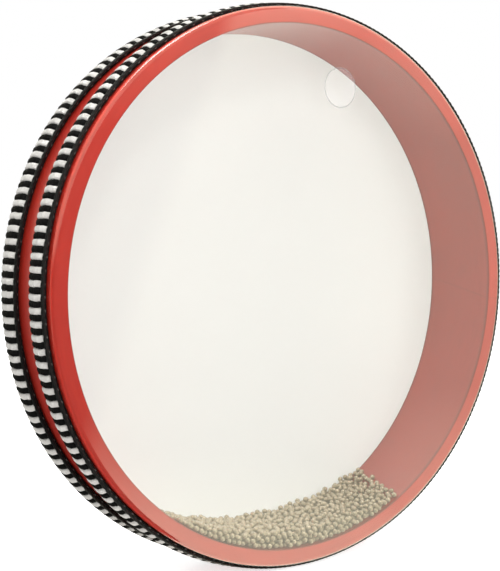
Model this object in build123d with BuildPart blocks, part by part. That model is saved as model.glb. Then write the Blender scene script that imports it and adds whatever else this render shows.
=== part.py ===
from build123d import *
import math
import os
import random

# Ocean drum: a bent wood hoop closed by a clear front head and a white rear head, each stapled
# to the hoop under a band of braid, with loose steel shot inside.
# The drum stands on its rim: its axis is Y, the front faces -Y, Z is up, and the origin is its centre.

# Hoop, in millimetres
hoop_outer_radius = 200.0
hoop_wall = 11.8
hoop_depth = 66.0
hoop_outer_round = 2.5
hoop_inner_round = 0.6

# Heads
film_thickness = 0.4
skirt_length = 15.0

# Braids, which are glued on by hand and lie further from the front edge than from the rear one
braid_width = 18.0
braid_thickness = 6.8
braid_edge_height = 4.8
braid_edge_round = 1.2
front_braid_setback = 5.5
rear_braid_setback = 0.9

# Staples, which stand in slits that are wider than they are by the clearance all round
staple_count = 36
staple_crown = 10.0
staple_height = 6.6
staple_wire_width = 1.2
staple_wire_thickness = 0.6
staple_from_edge = 12.0
staple_clearance = 0.05

# Round label on the front head, placed from the drum's axis
label_diameter = 30.0
label_thickness = 0.15
label_across = 32.0
label_up = 145.0

# Steel shot: balls that lie a little apart from each other, and a little more from the drum
bead_diameter = 4.0
bead_gap = 0.06
shot_clearance = 0.3

# The pile of shot: its thickness at the bottom of the hoop and at its ends, how far round the hoop
# it reaches each way in degrees, and how far round it lies askew from one head to the other
pile_middle = 15.0
pile_end = 6.0
pile_reach = 32.0
pile_skew = 2.5

# The parts of the pile that move by themselves: the ends past an angle, and the loose top over the bed
run_angle = 24.0
bed_thickness = 9.0

# How the balls are dropped: places tried for each, small steps downhill, and failures before the pile is full
drop_tries = 40
settle_steps = 16
drop_failures = 20
drop_seed = 11

# Sizes that follow from the ones above
front = -1
rear = 1
hoop_inner_radius = hoop_outer_radius - hoop_wall
half_depth = hoop_depth / 2
head_face = half_depth + film_thickness
skirt_radius = hoop_outer_radius + film_thickness
skirt_middle = head_face - (skirt_length + film_thickness) / 2
skirt_under = half_depth - skirt_length / 2
staple_level = half_depth - staple_from_edge
crown_radius = skirt_radius + staple_clearance + staple_wire_thickness / 2
leg_radius = crown_radius + (staple_wire_thickness - staple_height) / 2
leg_offset = (staple_crown - staple_wire_thickness) / 2
pocket_depth = staple_wire_thickness + 2 * staple_clearance
bead_radius = bead_diameter / 2
bead_pitch = bead_diameter + bead_gap
trough_radius = hoop_inner_radius - shot_clearance - bead_radius
shot_half_depth = half_depth - shot_clearance - bead_radius

os.makedirs("parts", exist_ok=True)


def save(part, name):
    part.label = name
    export_step(part, f"parts/{name}.step")


def staple_plane(side):
    # Plane.XZ faces the front, so the rear lies at a negative offset
    return Plane.XZ.offset(-side * staple_level)


def staple_legs(clearance, mode):
    with PolarLocations(leg_radius, staple_count):
        with Locations((0, leg_offset, 0), (0, -leg_offset, 0)):
            Box(
                staple_height + 2 * clearance,
                staple_wire_thickness + 2 * clearance,
                staple_wire_width + 2 * clearance,
                mode=mode,
            )


# Hoop: a rounded rectangle turned about the drum's axis, with slits for the staples' legs
with BuildPart() as hoop:
    with BuildSketch(Plane.XY) as hoop_section:
        with Locations((hoop_outer_radius - hoop_wall / 2, 0)):
            Rectangle(hoop_wall, hoop_depth)
        fillet(hoop_section.vertices().group_by(Axis.X)[-1], hoop_outer_round)
        fillet(hoop_section.vertices().group_by(Axis.X)[0], hoop_inner_round)
    revolve(axis=Axis.Y)
    with Locations(staple_plane(front), staple_plane(rear)):
        staple_legs(staple_clearance, Mode.SUBTRACT)
save(hoop.part, "hoop")


# Heads: a flat film turned over the hoop's rounded edge into a skirt that the staples pierce
def make_head(side):
    with BuildPart() as head:
        with BuildSketch(Plane.XY) as head_section:
            with Locations((skirt_radius / 2, side * skirt_middle)):
                Rectangle(skirt_radius, skirt_length + film_thickness)
            fillet(head_section.vertices().sort_by_distance((0, 0))[-1], hoop_outer_round + film_thickness)
        revolve(axis=Axis.Y)
        with BuildSketch(Plane.XY) as inside_section:
            with Locations((hoop_outer_radius / 2, side * skirt_under)):
                Rectangle(hoop_outer_radius, skirt_length)
            fillet(inside_section.vertices().sort_by_distance((0, 0))[-1], hoop_outer_round)
        revolve(axis=Axis.Y, mode=Mode.SUBTRACT)
        with Locations(staple_plane(side)):
            staple_legs(staple_clearance, Mode.SUBTRACT)
    return head.part


save(make_head(front), "clear_front_head")
save(make_head(rear), "white_rear_head")


# Staples: a flat crown over the skirt and two legs in the wood
def make_staples(side):
    with BuildPart() as staples:
        with Locations(staple_plane(side)):
            with PolarLocations(crown_radius, staple_count):
                Box(staple_wire_thickness, staple_crown, staple_wire_width)
            staple_legs(0, Mode.ADD)
    return staples.part


save(make_staples(front), "front_staples")
save(make_staples(rear), "rear_staples")


# Braids: a crowned band round the skirt, with a hollow over each staple's crown
def make_braid(side, setback):
    middle = side * (head_face - setback - braid_width / 2)
    near_end = middle - braid_width / 2
    far_end = middle + braid_width / 2
    edge_radius = skirt_radius + braid_edge_height
    with BuildPart() as braid:
        with BuildSketch(Plane.XY) as braid_section:
            with BuildLine():
                Polyline(
                    (edge_radius, near_end),
                    (skirt_radius, near_end),
                    (skirt_radius, far_end),
                    (edge_radius, far_end),
                )
                ThreePointArc(
                    (edge_radius, far_end),
                    (skirt_radius + braid_thickness, middle),
                    (edge_radius, near_end),
                )
            make_face()
            edge_corners = braid_section.vertices().group_by(Axis.X)[-1]
            fillet(edge_corners, braid_edge_round)
        revolve(axis=Axis.Y)
        with Locations(staple_plane(side)):
            with PolarLocations(skirt_radius, staple_count):
                Box(
                    2 * pocket_depth,
                    staple_crown + 2 * staple_clearance,
                    staple_wire_width + 2 * staple_clearance,
                    mode=Mode.SUBTRACT,
                )
    return braid.part


save(make_braid(front, front_braid_setback), "front_braid")
save(make_braid(rear, rear_braid_setback), "rear_braid")

# Label: a blank round sticker on the outside of the front head
with BuildPart(Plane.XZ.offset(head_face)) as label:
    with Locations((label_across, label_up)):
        Cylinder(label_diameter / 2, label_thickness, align=(Align.CENTER, Align.CENTER, Align.MIN))
save(label.part, "round_label")


# Shot: each ball is dropped straight down where it comes to rest lowest, then rolls a little further down
def cell_of(x, y):
    return math.floor(x / bead_pitch), math.floor(y / bead_pitch)


def rest_height(x, y, cells):
    height = -math.sqrt(trough_radius**2 - x**2)
    column, row = cell_of(x, y)
    for near_column in (column - 1, column, column + 1):
        for near_row in (row - 1, row, row + 1):
            for other_x, other_y, other_z in cells.get((near_column, near_row), ()):
                rise_squared = bead_pitch**2 - (x - other_x) ** 2 - (y - other_y) ** 2
                if rise_squared > 0:
                    height = max(height, other_z + math.sqrt(rise_squared))
    return height


def angle_from_bottom(ball):
    x, y, z = ball
    return math.degrees(math.atan2(x, -z))


def lift_above_hoop(ball):
    x, y, z = ball
    return trough_radius - math.hypot(x, z)


def room_over_hoop(ball):
    # How far above the hoop the pile's surface lets a ball lie; below zero outside the pile
    x, y, z = ball
    share = abs(angle_from_bottom(ball) - pile_skew * y / half_depth) / pile_reach
    if share > 1:
        return -1
    return pile_end + (pile_middle - pile_end) * math.cos(math.pi / 2 * share) - bead_diameter


def drop_ball(draw, cells):
    reach = math.radians(pile_reach + pile_skew)
    best_spare = 0
    best = None
    for _ in range(drop_tries):
        x = trough_radius * math.sin(draw.uniform(-reach, reach))
        y = draw.uniform(-shot_half_depth, shot_half_depth)
        ball = (x, y, rest_height(x, y, cells))
        spare = room_over_hoop(ball) - lift_above_hoop(ball)
        if spare >= best_spare:
            best_spare = spare
            best = ball
    return best


def settle_ball(ball, draw, cells):
    for step in range(settle_steps):
        stride = bead_radius * (1 - step / settle_steps)
        x = ball[0] + draw.uniform(-stride, stride)
        y = ball[1] + draw.uniform(-stride, stride)
        y = min(max(y, -shot_half_depth), shot_half_depth)
        z = rest_height(x, y, cells)
        if z < ball[2]:
            ball = (x, y, z)
    return ball


def pour_shot():
    draw = random.Random(drop_seed)
    cells = {}
    balls = []
    failures = 0
    while failures < drop_failures:
        ball = drop_ball(draw, cells)
        if ball is None:
            failures += 1
            continue
        ball = settle_ball(ball, draw, cells)
        balls.append(ball)
        cells.setdefault(cell_of(ball[0], ball[1]), []).append(ball)
    return balls


def is_covered(ball, higher_balls):
    return any(
        math.hypot(higher[0] - ball[0], higher[1] - ball[1]) < bead_pitch for higher in higher_balls
    )


def share_out(balls):
    # From the top down, so that a ball of the wave has nothing but the wave over it
    shares = {"shot_bed": [], "shot_wave": [], "shot_left_run": [], "shot_right_run": []}
    still = []
    for ball in sorted(balls, key=lambda ball: ball[2], reverse=True):
        angle = angle_from_bottom(ball)
        is_high = lift_above_hoop(ball) > bed_thickness - bead_diameter
        if abs(angle) <= run_angle and is_high and not is_covered(ball, still):
            shares["shot_wave"].append(ball)
            continue
        still.append(ball)
        if angle < -run_angle:
            shares["shot_left_run"].append(ball)
        elif angle > run_angle:
            shares["shot_right_run"].append(ball)
        else:
            shares["shot_bed"].append(ball)
    return shares


for name, balls in share_out(pour_shot()).items():
    with BuildPart() as shot:
        with Locations(*balls):
            Sphere(bead_radius)
    save(shot.part, name)
    print(name, len(balls), "balls")
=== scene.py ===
import math
import random

import bpy
import numpy as np
from mathutils import Matrix, Vector


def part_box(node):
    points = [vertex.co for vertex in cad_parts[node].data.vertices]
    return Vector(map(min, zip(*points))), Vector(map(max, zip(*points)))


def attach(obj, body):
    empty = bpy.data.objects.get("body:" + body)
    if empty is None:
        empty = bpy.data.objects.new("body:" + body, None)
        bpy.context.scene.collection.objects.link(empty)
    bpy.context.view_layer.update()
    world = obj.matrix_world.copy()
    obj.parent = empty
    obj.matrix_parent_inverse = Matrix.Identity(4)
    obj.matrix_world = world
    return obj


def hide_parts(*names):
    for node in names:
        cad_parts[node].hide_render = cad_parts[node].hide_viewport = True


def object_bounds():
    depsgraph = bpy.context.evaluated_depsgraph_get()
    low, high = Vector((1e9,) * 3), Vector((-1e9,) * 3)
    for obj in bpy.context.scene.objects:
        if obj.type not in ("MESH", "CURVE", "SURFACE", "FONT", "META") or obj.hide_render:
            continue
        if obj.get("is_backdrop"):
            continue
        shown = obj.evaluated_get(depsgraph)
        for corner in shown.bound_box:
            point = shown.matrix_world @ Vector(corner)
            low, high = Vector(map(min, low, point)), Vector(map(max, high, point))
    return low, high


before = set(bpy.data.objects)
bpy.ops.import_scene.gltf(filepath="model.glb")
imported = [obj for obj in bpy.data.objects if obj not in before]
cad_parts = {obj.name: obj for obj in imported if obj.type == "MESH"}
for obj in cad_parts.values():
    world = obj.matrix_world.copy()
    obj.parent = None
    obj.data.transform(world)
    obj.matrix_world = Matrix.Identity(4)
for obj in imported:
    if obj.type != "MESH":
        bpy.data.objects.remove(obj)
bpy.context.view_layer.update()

# The drum, in metres: its axis is Y, the clear front head faces -Y and Z is up
HOOP_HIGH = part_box("hoop")[1]
HOOP_RADIUS = HOOP_HIGH[0]
HALF_DEPTH = HOOP_HIGH[1]
HOOP_WALL = 0.0118
HOOP_BORE = HOOP_RADIUS - HOOP_WALL
HOOP_OUTER_ROUND = 0.0025
HOOP_INNER_ROUND = 0.0006

# Lacquer: painted shade along the hoop's inner edges, and a faint dark line along a seam that slants by an
# angle per metre
GRAIN_SHARE = 0.45
PAINTED_EDGE_SHADE_ON_FACE = 0.0010
PAINTED_EDGE_SHADE_ON_BORE = 0.0030
SEAM_ANGLE = math.radians(92.0)
SEAM_SLANT = math.radians(66.667)
SEAM_WIDTH = 0.016
SEAM_FAINTNESS = 0.7
# It has painted shade inside the hoop, and painted light on its outer edges near the faces, under the
# films
PAINTED_BORE_SHADE = 0.83
PAINTED_LIGHT_LENGTH = 0.0065
PAINTED_LIGHT_ROUND = 0.0012
PAINTED_LIGHT_GAIN = 0.9

# Heads: films that are lifted a little off the wood, so that no two faces lie in one place
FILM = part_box("white_rear_head")[1][1] - HALF_DEPTH
SKIRT_LENGTH = 0.015
FILM_LIFT = 0.00006
DISC_RINGS = (0.06, 0.12)
WHITE_FILM_GLOW = 0.75

# Label: its plain ring, in shares of its radius, and how much the film and the ring cover
LABEL_RING = 0.945
LABEL_RING_HALF_WIDTH = 0.014
LABEL_COVER = 0.07
LABEL_RING_COVER = 0.4

# Meshes: steps round the drum and round its edges, and the angles in degrees past which an edge is sharp
RING_STEPS = 384
OUTER_ROUND_STEPS = 6
INNER_ROUND_STEPS = 4
BEND_STEPS = 8
SHARP_ANGLE = 40.0
FILM_SHARP_ANGLE = 60.0
YARN_SHARP_ANGLE = 80.0
# How far before and after a rounded edge a point keeps the face beside it flat in the light
EASE = 0.0003

# Braid: rolls of yarn lie across a crowned band, in turn white and black, between black edge cords.
# Heights are above the hoop's outside, and shares run from a band's front edge to its rear one.
BRAID_PITCHES = 148
BRAID_WHITE_SHARE = 0.53
BRAID_CROWN = 0.0072
BRAID_CROWN_SHARE = 0.35
BRAID_FRONT_EDGE = 0.0034
BRAID_REAR_EDGE = 0.0050
BRAID_BODY_DEPTH = 0.0015
BODY_STEPS = 13
# The braids are wound by hand, and the rear one is stretched to the front
REAR_BRAID_STRETCH = 0.0015
# They are pressed flatter at the top and bottom than at the sides, by this share of their height
PRESS_SHARE = 0.52
PRESS_POWER = 4

# Rolls: the half width is a share of each one's place, and the sink is how far they reach into the body
ROLL_FRONT_INSET = 0.0016
ROLL_REAR_INSET = 0.0006
ROLL_HALF_WIDTH = 0.52
ROLL_SINK = 0.0003
ROLL_FULLNESS = 3
ROLL_STEPS = 8
# Strands: each is moved along the band by up to a share of the pitch
STRANDS = 6
STRAND_STEPS = 6
STRAND_GROOVE = 0.00030
BLACK_GROOVE_GAIN = 1.5
GROOVE_POWER = 4
STRAND_TAPER = 0.08
STRAND_SHIFT = 0.03
YARN_SEED = 5

# Edge cords: two strands twisted together, thinner at the waist between them
CORD_TWISTS = 2 * BRAID_PITCHES
CORD_STEPS = 6 * CORD_TWISTS
CORD_SIDES = 10
CORD_WAIST = 0.65
EDGE_CORD_RADIUS = 0.0010
FRONT_CORD_RADIUS = 0.0015
# The upper cord at the front stands higher on the drum's right
RIGHT_RISE = 0.0009
# Each cord's name, the band's edge it follows, how far in from it, its height, its radius and its rise
EDGE_CORDS = (
    ("front_upper_cord", "front", 0.0001, 0.0034, FRONT_CORD_RADIUS, RIGHT_RISE),
    ("front_lower_cord", "front", 0.0013, 0.0014, EDGE_CORD_RADIUS, 0.0),
    ("rear_upper_cord", "rear", EDGE_CORD_RADIUS, 0.0036, EDGE_CORD_RADIUS, 0.0),
    ("rear_lower_cord", "rear", EDGE_CORD_RADIUS, 0.0016, EDGE_CORD_RADIUS, 0.0),
)

# Tips: the white rolls' ends, small beads of yarn, each moved by up to a share of the pitch
TIP_INSET = 0.0006
TIP_HEIGHT = 0.0019
TIP_LENGTH = 0.0010
TIP_RADIUS = 0.0006
TIP_BLUNTNESS = 0.02
TIP_SHIFT = 0.06
TIP_RINGS = 5
TIP_SIDES = 8

# Camera, fitted to the photograph: its place, the way it looks and its focal length in pixels
IMAGE_HEIGHT = 571
CAMERA_PLACE = (-0.5376, -0.7240, 0.0475)
CAMERA_PAN = math.radians(-35.315)
CAMERA_TILT = math.radians(2.98)
FOCAL_PIXELS = 1219.0
SENSOR = 36.0

# Floor: just under the drum, with a glow where the camera sees it that grows away from the drum
FLOOR_GAP = 0.0005
FLOOR_REACH = 4.0
FLOOR_GLOW = 0.6
FLOOR_GLOW_PER_METRE = 0.3
FLOOR_GLOW_GROWTH = 0.4

# Lamps: most point at the drum's middle, and the two overhead ones hang in one place
MIDDLE = (0, 0, 0)
OVERHEAD = (-0.2, -0.5, 1.7)

# World: the soft light from all round
AMBIENT = 0.20
# The room in reflections: it is lit past a slanted edge, at an angle from straight ahead to the right
ROOM_TINT = (1.0, 0.98, 0.78)
ROOM_EDGE = math.radians(31.0)
ROOM_EDGE_SLANT = 0.33
ROOM_EDGE_SHARPNESS = 40.0
# It is brighter above and below a band at eye level; heights are those of a direction one unit long
ROOM_LEVEL = 0.98
EYE_LEVEL = -0.03
EYE_BAND = 0.1
RISE_LIMIT = 0.12
RISE_GAIN = 6.0
# It is dimmer straight ahead, and grows to full to the right, above and below
AHEAD_SHARE = 0.4
RIGHT_START = math.radians(36.0)
RIGHT_FULL = math.radians(45.0)
UP_DOWN_START = 0.14
UP_DOWN_FULL = 0.22
# Its dark side is lighter towards the ceiling, and behind the drum there is a low pale band
DARK_LEVEL = 0.04
CEILING_START = 0.075
CEILING_GAIN = 5.0
CEILING_LIMIT = 0.65
BEHIND_HEIGHT = 0.3
BEHIND_LEVEL = 0.3


class NodeGraph:
    """The nodes of a material or of the world, and short ways to add to them."""

    def __init__(self, owner, output_kind):
        owner.use_nodes = True
        self.nodes = owner.node_tree.nodes
        self.links = owner.node_tree.links
        self.nodes.clear()
        self.output = self.nodes.new(output_kind)

    def add(self, kind, sockets, **settings):
        """A new node, its sockets set to plain values or joined to other nodes' outputs."""
        node = self.nodes.new(kind)
        for key, value in settings.items():
            setattr(node, key, value)
        for key, value in sockets.items():
            if isinstance(value, bpy.types.NodeSocket):
                self.links.new(value, node.inputs[key])
            else:
                node.inputs[key].default_value = value
        return node

    def calc(self, operation, *values):
        return self.add("ShaderNodeMath", dict(enumerate(values)), operation=operation).outputs[0]

    def vector(self, operation, sockets):
        return self.add("ShaderNodeVectorMath", sockets, operation=operation)

    def noise(self, place, scale, detail):
        sockets = {"Vector": place, "Scale": scale, "Detail": detail}
        return self.add("ShaderNodeTexNoise", sockets).outputs["Fac"]

    def ramp(self, factor, *stops):
        node = self.add("ShaderNodeValToRGB", {"Fac": factor})
        for element, (place, colour) in zip(node.color_ramp.elements, stops):
            element.position = place
            element.color = (*colour, 1)
        return node.outputs["Color"]

    def smooth_step(self, value, start, full):
        sockets = {"Value": value, "From Min": start, "From Max": full}
        return self.add("ShaderNodeMapRange", sockets, interpolation_type="SMOOTHSTEP").outputs[0]

    def bump(self, height, strength, distance):
        sockets = {"Height": height, "Strength": strength, "Distance": distance}
        return self.add("ShaderNodeBump", sockets).outputs["Normal"]

    def split(self, place):
        return self.add("ShaderNodeSeparateXYZ", {0: place}).outputs

    def object_place(self):
        return self.add("ShaderNodeTexCoord", {}).outputs["Object"]

    def drum_place(self):
        """A point's angle round the drum, its place along the axis and its radius."""
        x, y, z = self.split(self.object_place())
        square = self.calc("ADD", self.calc("MULTIPLY", x, x), self.calc("MULTIPLY", z, z))
        return self.calc("ARCTAN2", x, z), y, self.calc("SQRT", square)

    def ring_place(self, along, across):
        """A point's place, scaled along the drum's circumference and across it to stretch a grain."""
        angle, y, radius = self.drum_place()
        sockets = {
            0: self.calc("MULTIPLY", angle, along),
            1: self.calc("MULTIPLY", y, across),
            2: self.calc("MULTIPLY", radius, across),
        }
        return self.add("ShaderNodeCombineXYZ", sockets).outputs[0]

    def shader(self, kind, sockets):
        return self.add(kind, sockets).outputs[0]

    def mix(self, share, first, second):
        return self.shader("ShaderNodeMixShader", {0: share, 1: first, 2: second})

    def finish(self, shader):
        self.links.new(shader, self.output.inputs["Surface"])


# Materials
def new_material(name):
    material = bpy.data.materials.new(name)
    return material, NodeGraph(material, "ShaderNodeOutputMaterial")


def red_lacquer():
    material, graph = new_material("red_lacquer")
    grain = graph.noise(graph.ring_place(along=9.0, across=420.0), scale=1.0, detail=5.0)
    blotch = graph.noise(graph.object_place(), scale=14.0, detail=3.0)
    shade = graph.calc("ADD", graph.calc("MULTIPLY", grain, GRAIN_SHARE),
                       graph.calc("MULTIPLY", blotch, 1 - GRAIN_SHARE))
    colour = graph.ramp(shade, (0.3, (0.40, 0.018, 0.011)), (0.7, (0.51, 0.029, 0.016)))
    angle, y, radius = graph.drum_place()
    from_bore = graph.calc("SUBTRACT", radius, HOOP_BORE)
    from_outside = graph.calc("SUBTRACT", HOOP_RADIUS, radius)
    from_face = graph.calc("SUBTRACT", HALF_DEPTH, graph.calc("ABSOLUTE", y))
    # Painted shade along the hoop's inner edges, and the slanted seam where the wood's ends overlap
    edge = graph.calc("MAXIMUM", graph.calc("DIVIDE", from_bore, PAINTED_EDGE_SHADE_ON_FACE),
                      graph.calc("DIVIDE", from_face, PAINTED_EDGE_SHADE_ON_BORE))
    slanted = graph.calc("MULTIPLY_ADD", y, SEAM_SLANT, angle)
    from_seam = graph.calc("ABSOLUTE", graph.calc("SUBTRACT", slanted, SEAM_ANGLE))
    seam = graph.calc("ADD", graph.calc("DIVIDE", from_seam, SEAM_WIDTH), SEAM_FAINTNESS)
    tone = graph.ramp(graph.calc("MINIMUM", edge, seam), (0.3, (0.62, 0.62, 0.62)), (1.0, (1, 1, 1)))
    toned = graph.vector("MULTIPLY", {0: colour, 1: tone}).outputs["Vector"]
    # Painted shade on the inside of the hoop, and painted light on its outer edges under the films
    in_bore = graph.calc("LESS_THAN", from_bore, HOOP_INNER_ROUND)
    painted_bore_level = graph.calc("MULTIPLY_ADD", in_bore, PAINTED_BORE_SHADE - 1.0, 1.0)
    on_round = graph.calc("SUBTRACT", 1.0, graph.calc("DIVIDE", from_outside, PAINTED_LIGHT_ROUND))
    near_face = graph.calc("LESS_THAN", from_face, PAINTED_LIGHT_LENGTH)
    painted_light_mask = graph.calc("MULTIPLY", near_face, graph.calc("MAXIMUM", on_round, 0.0))
    painted_light_level = graph.calc("MULTIPLY_ADD", painted_light_mask, PAINTED_LIGHT_GAIN, 1.0)
    level = graph.calc("MULTIPLY", painted_bore_level, painted_light_level)
    graph.finish(graph.shader("ShaderNodeBsdfPrincipled", {
        "Base Color": graph.vector("SCALE", {0: toned, "Scale": level}).outputs["Vector"],
        "Roughness": 0.42,
        "Coat Weight": 0.5,
        "Coat Roughness": 0.06,
        "Normal": graph.bump(shade, strength=0.25, distance=0.0004),
    }))
    return material


def clear_film():
    material, graph = new_material("clear_film")
    ripple = graph.noise(graph.object_place(), scale=5.0, detail=2.0)
    mirror = graph.shader("ShaderNodeBsdfGlossy", {
        "Color": (1, 1, 1, 1),
        "Roughness": 0.02,
        "Normal": graph.bump(ripple, strength=0.08, distance=0.002),
    })
    clear = graph.shader("ShaderNodeBsdfTransparent", {"Color": (0.985, 0.98, 0.975, 1)})
    # The film's far face adds nothing to the mirror, so that it isn't taken for the inside of thick glass
    fresnel = graph.add("ShaderNodeFresnel", {"IOR": 2.1}).outputs[0]
    back = graph.add("ShaderNodeNewGeometry", {}).outputs["Backfacing"]
    share = graph.calc("MULTIPLY", fresnel, graph.calc("SUBTRACT", 1.0, back))
    graph.finish(graph.mix(share, clear, mirror))
    return material


def white_film():
    material, graph = new_material("white_film")
    cloud = graph.noise(graph.object_place(), scale=9.0, detail=5.0)
    fine = graph.noise(graph.object_place(), scale=900.0, detail=2.0)
    milky = graph.shader("ShaderNodeBsdfPrincipled", {
        "Base Color": graph.ramp(cloud, (0.3, (0.85, 0.852, 0.832)), (0.7, (0.87, 0.872, 0.852))),
        "Roughness": 0.4,
        "Normal": graph.bump(fine, strength=0.08, distance=0.0002),
    })
    glow = graph.shader("ShaderNodeBsdfTranslucent", {"Color": (0.88, 0.885, 0.87, 1)})
    graph.finish(graph.mix(WHITE_FILM_GLOW, milky, glow))
    return material


def yarn(name, dark, pale, roughness, specular, sheen):
    material, graph = new_material(name)
    strand = graph.noise(graph.ring_place(along=60.0, across=5200.0), scale=1.0, detail=3.0)
    graph.finish(graph.shader("ShaderNodeBsdfPrincipled", {
        "Base Color": graph.ramp(strand, (0.3, dark), (0.7, pale)),
        "Roughness": roughness,
        "Specular IOR Level": specular,
        "Sheen Weight": sheen,
        "Sheen Roughness": 0.45,
        "Normal": graph.bump(strand, strength=0.7, distance=0.0003),
    }))
    return material


def steel(name, dark, pale, metallic, roughness):
    material, graph = new_material(name)
    shade = graph.noise(graph.object_place(), scale=160.0, detail=2.0)
    graph.finish(graph.shader("ShaderNodeBsdfPrincipled", {
        "Base Color": graph.ramp(shade, (0.35, dark), (0.65, pale)),
        "Metallic": metallic,
        "Roughness": roughness,
    }))
    return material


def label_film(centre, radius):
    """A blank clear sticker with a plain ring near its edge."""
    material, graph = new_material("label_film")
    offset = graph.vector("SUBTRACT", {0: graph.object_place(), 1: centre}).outputs["Vector"]
    length = graph.vector("LENGTH", {0: offset}).outputs["Value"]
    share = graph.calc("DIVIDE", length, radius)
    from_ring = graph.calc("ABSOLUTE", graph.calc("SUBTRACT", share, LABEL_RING))
    ring = graph.calc("LESS_THAN", from_ring, LABEL_RING_HALF_WIDTH)
    paper = graph.shader("ShaderNodeBsdfPrincipled", {
        "Base Color": graph.ramp(ring, (0.0, (0.88, 0.87, 0.85)), (1.0, (0.22, 0.22, 0.22))),
        "Roughness": 0.3,
    })
    clear = graph.shader("ShaderNodeBsdfTransparent", {})
    cover = graph.calc("MULTIPLY_ADD", ring, LABEL_RING_COVER, LABEL_COVER)
    graph.finish(graph.mix(cover, clear, paper))
    return material


# Mesh helpers
def finish_piece(name, points, faces, material, body, sharp=SHARP_ANGLE):
    mesh = bpy.data.meshes.new(name)
    mesh.from_pydata(points, [], faces)
    mesh.validate()
    mesh.shade_smooth()
    mesh.set_sharp_from_angle(angle=math.radians(sharp))
    mesh.materials.append(material)
    piece = bpy.data.objects.new(name, mesh)
    bpy.context.scene.collection.objects.link(piece)
    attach(piece, body)
    return piece


def arc(centre, radius, start, stop, steps):
    angles = np.radians(np.linspace(start, stop, steps))
    return [(centre[0] + radius * math.cos(a), centre[1] + radius * math.sin(a)) for a in angles]


def eased_arc(centre, radius, start, stop, steps):
    """An arc with a point a little before and after it, on the flat faces beside it."""
    points = arc(centre, radius, start, stop, steps)
    first = math.radians(start)
    last = math.radians(stop)
    before = (points[0][0] + EASE * math.sin(first), points[0][1] - EASE * math.cos(first))
    after = (points[-1][0] - EASE * math.sin(last), points[-1][1] + EASE * math.cos(last))
    return [before] + points + [after]


def turned(profile, side=1):
    """Rows of points: a profile of (radius, y) turned about the drum's axis, y times side."""
    angles = np.linspace(0, 2 * math.pi, RING_STEPS, endpoint=False)
    return [(r * math.cos(a), side * y, r * math.sin(a)) for a in angles for r, y in profile]


def ring_faces(rows, count):
    """Faces over rows of points, where each row is closed and the last row joins the first."""
    faces = []
    for i in range(rows):
        here = i * count
        there = (i + 1) % rows * count
        for j in range(count):
            k = (j + 1) % count
            faces.append((here + j, here + k, there + k, there + j))
    return faces


# Hoop: the wood ring with its rounded edges
def make_hoop(material):
    out = HOOP_OUTER_ROUND
    small = HOOP_INNER_ROUND
    outer = HOOP_RADIUS - out
    inner = HOOP_BORE + small
    profile = []
    profile += eased_arc((outer, -HALF_DEPTH + out), out, -90, 0, OUTER_ROUND_STEPS)
    profile += eased_arc((outer, HALF_DEPTH - out), out, 0, 90, OUTER_ROUND_STEPS)
    profile += eased_arc((inner, HALF_DEPTH - small), small, 90, 180, INNER_ROUND_STEPS)
    profile += eased_arc((inner, -HALF_DEPTH + small), small, 180, 270, INNER_ROUND_STEPS)
    faces = ring_faces(RING_STEPS, len(profile))
    piece = finish_piece("hoop_ring", turned(profile), faces, material, "drum")
    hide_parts("hoop")


# Heads: a flat film that turns over the hoop's edge, with a closed disc inside and outside
def make_head(name, node, side, material):
    face = HALF_DEPTH + FILM
    under = HALF_DEPTH + FILM_LIFT
    skirt_end = HALF_DEPTH - SKIRT_LENGTH
    corner = (HOOP_RADIUS - HOOP_OUTER_ROUND, HALF_DEPTH - HOOP_OUTER_ROUND)
    rings = (*DISC_RINGS, corner[0] - EASE)
    profile = [(r, face) for r in rings]
    profile += arc(corner, HOOP_OUTER_ROUND + FILM, 90, 0, BEND_STEPS)
    profile += [(HOOP_RADIUS + FILM, skirt_end), (HOOP_RADIUS + FILM_LIFT, skirt_end)]
    profile += arc(corner, HOOP_OUTER_ROUND + FILM_LIFT, 0, 90, BEND_STEPS)
    profile += [(r, under) for r in reversed(rings)]
    count = len(profile)
    points = turned(profile, side)
    outer_pole = len(points)
    inner_pole = outer_pole + 1
    points += [(0, side * face, 0), (0, side * under, 0)]
    faces = []
    for i in range(RING_STEPS):
        here = i * count
        there = (i + 1) % RING_STEPS * count
        strip = [(here + j, there + j, there + j + 1, here + j + 1) for j in range(count - 1)]
        strip.append((here, outer_pole, there))
        strip.append((here + count - 1, there + count - 1, inner_pole))
        faces += strip if side > 0 else [corners[::-1] for corners in strip]
    piece = finish_piece(name, points, faces, material, "drum", FILM_SHARP_ANGLE)
    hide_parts(node)


# Braids: rolls of yarn that follow the hoop, on a black body between twisted edge cords
def braid_height(share):
    """Height of the band's top, at a share of the way from its front edge to its rear one."""
    if share < BRAID_CROWN_SHARE:
        edge = BRAID_FRONT_EDGE
        reach = (BRAID_CROWN_SHARE - share) / BRAID_CROWN_SHARE
    else:
        edge = BRAID_REAR_EDGE
        reach = (share - BRAID_CROWN_SHARE) / (1 - BRAID_CROWN_SHARE)
    return BRAID_CROWN - (BRAID_CROWN - edge) * reach**2


def make_body(name, front, rear, material):
    profile = [(HOOP_RADIUS + braid_height(share) - BRAID_BODY_DEPTH, front + (rear - front) * share)
               for share in np.linspace(0.0, 1.0, BODY_STEPS)]
    profile += [(HOOP_RADIUS + FILM, rear), (HOOP_RADIUS + FILM, front)]
    faces = ring_faces(RING_STEPS, len(profile))
    return finish_piece(name, turned(profile), faces, material, "drum")


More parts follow.
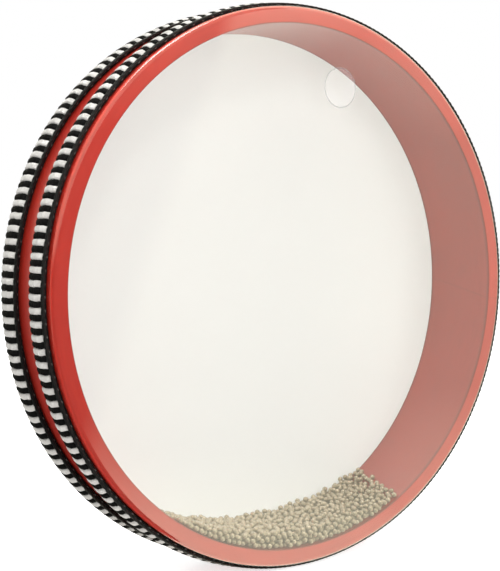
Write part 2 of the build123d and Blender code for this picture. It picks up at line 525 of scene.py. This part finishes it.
def roll(angle, half_angle, front, rear, groove, shifts):
    """One roll of yarn: a rounded patch of strands that lie side by side across the band."""
    across = STRANDS * STRAND_STEPS
    points = []
    for i in range(ROLL_STEPS + 1):
        u = -1 + 2 * i / ROLL_STEPS
        rise = math.sqrt(max(0.0, 1 - abs(u) ** ROLL_FULLNESS))
        for j in range(across + 1):
            share = j / across
            strand = min(j // STRAND_STEPS, STRANDS - 1)
            v = 2 * (share * STRANDS - strand) - 1
            top = braid_height(share) - groove * v**GROOVE_POWER
            low = braid_height(share) - BRAID_BODY_DEPTH - ROLL_SINK
            r = HOOP_RADIUS + low + (top - low) * rise
            a = angle + shifts[strand] + u * half_angle * (1 - STRAND_TAPER * v**GROOVE_POWER)
            points.append((r * math.cos(a), front + (rear - front) * share, r * math.sin(a)))
    row = across + 1
    faces = []
    for i in range(ROLL_STEPS):
        for j in range(across):
            k = i * row + j
            faces.append((k, k + 1, k + row + 1, k + row))
    return points, faces


def make_rolls(name, front, rear, is_white, material, draw):
    pitch = 2 * math.pi / BRAID_PITCHES
    share = BRAID_WHITE_SHARE if is_white else 1 - BRAID_WHITE_SHARE
    start = 0.0 if is_white else 0.5
    groove = STRAND_GROOVE if is_white else BLACK_GROOVE_GAIN * STRAND_GROOVE
    half_angle = ROLL_HALF_WIDTH * share * pitch
    points = []
    faces = []
    for turn in range(BRAID_PITCHES):
        shifts = [draw.uniform(-STRAND_SHIFT, STRAND_SHIFT) * pitch for _ in range(STRANDS)]
        grid, quads = roll((turn + start) * pitch, half_angle, front, rear, groove, shifts)
        base = len(points)
        points += grid
        faces += [tuple(base + k for k in quad) for quad in quads]
    return finish_piece(name, points, faces, material, "drum", YARN_SHARP_ANGLE)


def make_edge_cord(name, y, height, radius, rise, material):
    """A two-strand twisted cord that runs round the drum along one edge of a braid."""
    points = []
    for i in range(CORD_STEPS):
        a = 2 * math.pi * i / CORD_STEPS
        twist = CORD_TWISTS * a / 2
        for j in range(CORD_SIDES):
            turn = 2 * math.pi * j / CORD_SIDES
            reach = radius * (CORD_WAIST + (1 - CORD_WAIST) * abs(math.cos(turn - twist)))
            r = HOOP_RADIUS + height + rise * (1 + math.cos(a)) / 2 + reach * math.cos(turn)
            points.append((r * math.cos(a), y + reach * math.sin(turn), r * math.sin(a)))
    faces = ring_faces(CORD_STEPS, CORD_SIDES)
    return finish_piece(name, points, faces, material, "drum", YARN_SHARP_ANGLE)


def make_tips(name, y, material, draw):
    """The ends of the white rolls, which show between the front edge cords."""
    points = []
    faces = []
    for turn in range(BRAID_PITCHES):
        a = 2 * math.pi * (turn + draw.uniform(-TIP_SHIFT, TIP_SHIFT)) / BRAID_PITCHES
        base = len(points)
        for i in range(TIP_RINGS):
            along = TIP_LENGTH * (-1 + 2 * i / (TIP_RINGS - 1))
            girth = TIP_RADIUS * math.sqrt(max(TIP_BLUNTNESS, 1 - (along / TIP_LENGTH) ** 2))
            for j in range(TIP_SIDES):
                side = 2 * math.pi * j / TIP_SIDES
                r = HOOP_RADIUS + TIP_HEIGHT + girth * math.cos(side)
                b = a + along / HOOP_RADIUS
                points.append((r * math.cos(b), y + girth * math.sin(side), r * math.sin(b)))
        for i in range(TIP_RINGS - 1):
            here = base + i * TIP_SIDES
            there = here + TIP_SIDES
            for j in range(TIP_SIDES):
                k = (j + 1) % TIP_SIDES
                faces.append((here + j, here + k, there + k, there + j))
        last_ring = base + (TIP_RINGS - 1) * TIP_SIDES
        faces.append(tuple(base + j for j in reversed(range(TIP_SIDES))))
        faces.append(tuple(last_ring + j for j in range(TIP_SIDES)))
    return finish_piece(name, points, faces, material, "drum", YARN_SHARP_ANGLE)


def press_flat(piece):
    """Lowers a braid's piece towards the film, most of all at the top and bottom of the drum."""
    places = np.empty(len(piece.data.vertices) * 3)
    piece.data.vertices.foreach_get("co", places)
    x, y, z = places.reshape(-1, 3).T
    radius = np.hypot(x, z)
    height = np.maximum(radius - HOOP_RADIUS - FILM, 0)
    scale = 1 - PRESS_SHARE * (z / radius) ** PRESS_POWER * height / radius
    piece.data.vertices.foreach_set("co", np.column_stack((x * scale, y, z * scale)).ravel())
    piece.data.update()


def make_braid(node, stretch, white, black, cord, tip, draw):
    low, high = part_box(node)
    front_edge = low[1] - stretch
    rear_edge = high[1]
    front = front_edge + ROLL_FRONT_INSET
    rear = rear_edge - ROLL_REAR_INSET
    body = make_body(node + "_body", front, rear, black)
    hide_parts(node)
    pieces = [body]
    pieces.append(make_rolls(node + "_white_rolls", front, rear, True, white, draw))
    pieces.append(make_rolls(node + "_black_rolls", front, rear, False, black, draw))
    for cord_name, edge, inset, height, radius, rise in EDGE_CORDS:
        y = front_edge + inset if edge == "front" else rear_edge - inset
        pieces.append(make_edge_cord(f"{node}_{cord_name}", y, height, radius, rise, cord))
    pieces.append(make_tips(node + "_tips", front_edge + TIP_INSET, tip, draw))
    for piece in pieces:
        press_flat(piece)


def dress(node, material):
    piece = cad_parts[node]
    piece.data.materials.clear()
    piece.data.materials.append(material)


# Stage: a white floor, soft lamps, a white surround and the camera
def floor_white():
    material, graph = new_material("floor")
    matt = graph.shader("ShaderNodeBsdfPrincipled", {
        "Base Color": (0.95, 0.95, 0.95, 1),
        "Roughness": 0.9,
    })
    # The floor turns white away from the drum, so that it has no horizon
    away = graph.vector("LENGTH", {0: graph.object_place()}).outputs["Value"]
    growth = graph.calc("MULTIPLY", away, FLOOR_GLOW_PER_METRE)
    level = graph.calc("ADD", graph.calc("MINIMUM", growth, FLOOR_GLOW_GROWTH), FLOOR_GLOW)
    seen = graph.add("ShaderNodeLightPath", {}).outputs["Is Camera Ray"]
    glow = graph.shader("ShaderNodeEmission", {"Strength": graph.calc("MULTIPLY", seen, level)})
    graph.finish(graph.shader("ShaderNodeAddShader", {0: matt, 1: glow}))
    return material


def make_floor(material):
    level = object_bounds()[0][2] - FLOOR_GAP
    signs = ((-1, -1), (1, -1), (1, 1), (-1, 1))
    corners = [(x * FLOOR_REACH, y * FLOOR_REACH, level) for x, y in signs]
    mesh = bpy.data.meshes.new("floor")
    mesh.from_pydata(corners, [], [(0, 1, 2, 3)])
    mesh.materials.append(material)
    floor = bpy.data.objects.new("floor", mesh)
    floor.visible_glossy = False
    bpy.context.scene.collection.objects.link(floor)
    floor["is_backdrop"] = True


def make_lamp(name, place, target, size, watts, mirrored=False, spread=180.0):
    light = bpy.data.lights.new(name, "AREA")
    light.shape = "SQUARE"
    light.size = size
    light.energy = watts
    light.spread = math.radians(spread)
    lamp = bpy.data.objects.new(name, light)
    lamp.location = place
    lamp.visible_glossy = mirrored
    lamp.rotation_euler = (Vector(target) - Vector(place)).to_track_quat("-Z", "Y").to_euler()
    bpy.context.scene.collection.objects.link(lamp)


def room_light(graph):
    """How bright the room is in reflections, in each direction."""
    x, y, z = graph.split(graph.add("ShaderNodeTexCoord", {}).outputs["Generated"])
    azimuth = graph.calc("ARCTAN2", x, graph.calc("MULTIPLY", y, -1.0))
    edge = graph.calc("MULTIPLY_ADD", z, ROOM_EDGE_SLANT, ROOM_EDGE)
    past_edge = graph.calc("SUBTRACT", azimuth, edge)
    across_edge = graph.calc("MULTIPLY_ADD", past_edge, ROOM_EDGE_SHARPNESS, 0.5)
    lit = graph.add("ShaderNodeClamp", {"Value": across_edge}).outputs[0]
    from_level = graph.calc("ABSOLUTE", graph.calc("SUBTRACT", z, EYE_LEVEL))
    rise = graph.calc("MAXIMUM", graph.calc("SUBTRACT", from_level, EYE_BAND), 0.0)
    gain = graph.calc("MULTIPLY_ADD", graph.calc("MINIMUM", rise, RISE_LIMIT), RISE_GAIN, ROOM_LEVEL)
    to_right = graph.smooth_step(azimuth, RIGHT_START, RIGHT_FULL)
    up_down = graph.smooth_step(from_level, UP_DOWN_START, UP_DOWN_FULL)
    full = graph.calc("MAXIMUM", to_right, up_down)
    share = graph.calc("MULTIPLY_ADD", full, 1 - AHEAD_SHARE, AHEAD_SHARE)
    bright_side = graph.calc("MULTIPLY", lit, graph.calc("MULTIPLY", gain, share))
    above = graph.calc("MAXIMUM", graph.calc("SUBTRACT", z, CEILING_START), 0.0)
    ceiling = graph.calc("MINIMUM", graph.calc("MULTIPLY", above, CEILING_GAIN), CEILING_LIMIT)
    dark_side = graph.calc("ADD", ceiling, DARK_LEVEL)
    is_behind = graph.calc("GREATER_THAN", y, 0.0)
    is_low = graph.calc("LESS_THAN", graph.calc("ABSOLUTE", z), BEHIND_HEIGHT)
    behind = graph.calc("MULTIPLY", is_behind, graph.calc("MULTIPLY", is_low, BEHIND_LEVEL))
    return graph.calc("MAXIMUM", graph.calc("MAXIMUM", bright_side, dark_side), behind)


def make_world():
    """White where the camera looks and through the white film, soft light, and the room in reflections."""
    world = bpy.data.worlds.new("studio")
    bpy.context.scene.world = world
    graph = NodeGraph(world, "ShaderNodeOutputWorld")
    rays = graph.add("ShaderNodeLightPath", {}).outputs
    seen = graph.calc("MAXIMUM", rays["Is Camera Ray"], rays["Is Transmission Ray"])
    mirrored = graph.calc("MULTIPLY", rays["Is Glossy Ray"], room_light(graph))
    soft = graph.calc("MULTIPLY", rays["Is Diffuse Ray"], AMBIENT)
    strength = graph.calc("MAXIMUM", graph.calc("MAXIMUM", seen, mirrored), soft)
    tint = graph.ramp(rays["Is Glossy Ray"], (0.0, (1, 1, 1)), (1.0, ROOM_TINT))
    graph.finish(graph.shader("ShaderNodeBackground", {"Color": tint, "Strength": strength}))


def make_camera():
    data = bpy.data.cameras.new("camera")
    data.sensor_fit = "VERTICAL"
    data.sensor_height = SENSOR
    data.lens = FOCAL_PIXELS / IMAGE_HEIGHT * SENSOR
    camera = bpy.data.objects.new("camera", data)
    back = Vector((math.sin(CAMERA_PAN) * math.cos(CAMERA_TILT),
                   -math.cos(CAMERA_PAN) * math.cos(CAMERA_TILT), math.sin(CAMERA_TILT)))
    right = Vector((math.cos(CAMERA_PAN), math.sin(CAMERA_PAN), 0))
    turn = Matrix((right, back.cross(right), back)).transposed()
    camera.matrix_world = Matrix.Translation(CAMERA_PLACE) @ turn.to_4x4()
    bpy.context.scene.collection.objects.link(camera)
    bpy.context.scene.camera = camera


make_hoop(red_lacquer())
make_head("front_film", "clear_front_head", -1, clear_film())
make_head("rear_film", "white_rear_head", 1, white_film())

white_yarn = yarn("white_yarn", (0.60, 0.58, 0.54), (0.78, 0.76, 0.73),
                  roughness=0.55, specular=0.3, sheen=0.1)
black_yarn = yarn("black_yarn", (0.003, 0.003, 0.003), (0.011, 0.011, 0.011),
                  roughness=0.6, specular=0.06, sheen=0.0)
cord_yarn = yarn("cord_yarn", (0.003, 0.003, 0.003), (0.016, 0.016, 0.016),
                 roughness=0.4, specular=0.2, sheen=0.0)
tip_yarn = yarn("tip_yarn", (0.14, 0.14, 0.13), (0.24, 0.24, 0.23),
                roughness=0.6, specular=0.2, sheen=0.0)
draw = random.Random(YARN_SEED)
make_braid("front_braid", 0.0, white_yarn, black_yarn, cord_yarn, tip_yarn, draw)
make_braid("rear_braid", REAR_BRAID_STRETCH, white_yarn, black_yarn, cord_yarn, tip_yarn, draw)

shot_steel = steel("shot_steel", (0.44, 0.38, 0.265), (0.58, 0.51, 0.375),
                   metallic=0.6, roughness=0.16)
for shot_node in ("shot_bed", "shot_wave", "shot_left_run", "shot_right_run"):
    dress(shot_node, shot_steel)
staple_steel = steel("staple_steel", (0.55, 0.55, 0.56), (0.68, 0.68, 0.69),
                     metallic=1.0, roughness=0.35)
for staple_node in ("front_staples", "rear_staples"):
    dress(staple_node, staple_steel)
label_low, label_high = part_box("round_label")
label_centre = [(a + b) / 2 for a, b in zip(label_low, label_high)]
dress("round_label", label_film(label_centre, (label_high[0] - label_low[0]) / 2))

make_floor(floor_white())
make_lamp("overhead", OVERHEAD, MIDDLE, size=0.9, watts=12, mirrored=True)
make_lamp("overhead_fill", OVERHEAD, MIDDLE, size=0.9, watts=10)
make_lamp("side_key", (0.7, -1.8, 0.4), MIDDLE, size=1.0, watts=19)
make_lamp("front_fill", (-0.8, -1.75, 0.8), MIDDLE, size=1.0, watts=15)
make_lamp("upper_left", (-0.55, -1.1, 0.9), (-0.10, 0, 0.22), size=0.25, watts=0.15, spread=22.0)
make_lamp("rear_glow", (-0.6, 1.2, 0.3), MIDDLE, size=1.6, watts=14)
make_world()
make_camera()
bpy.context.scene.view_settings.view_transform = "Standard"
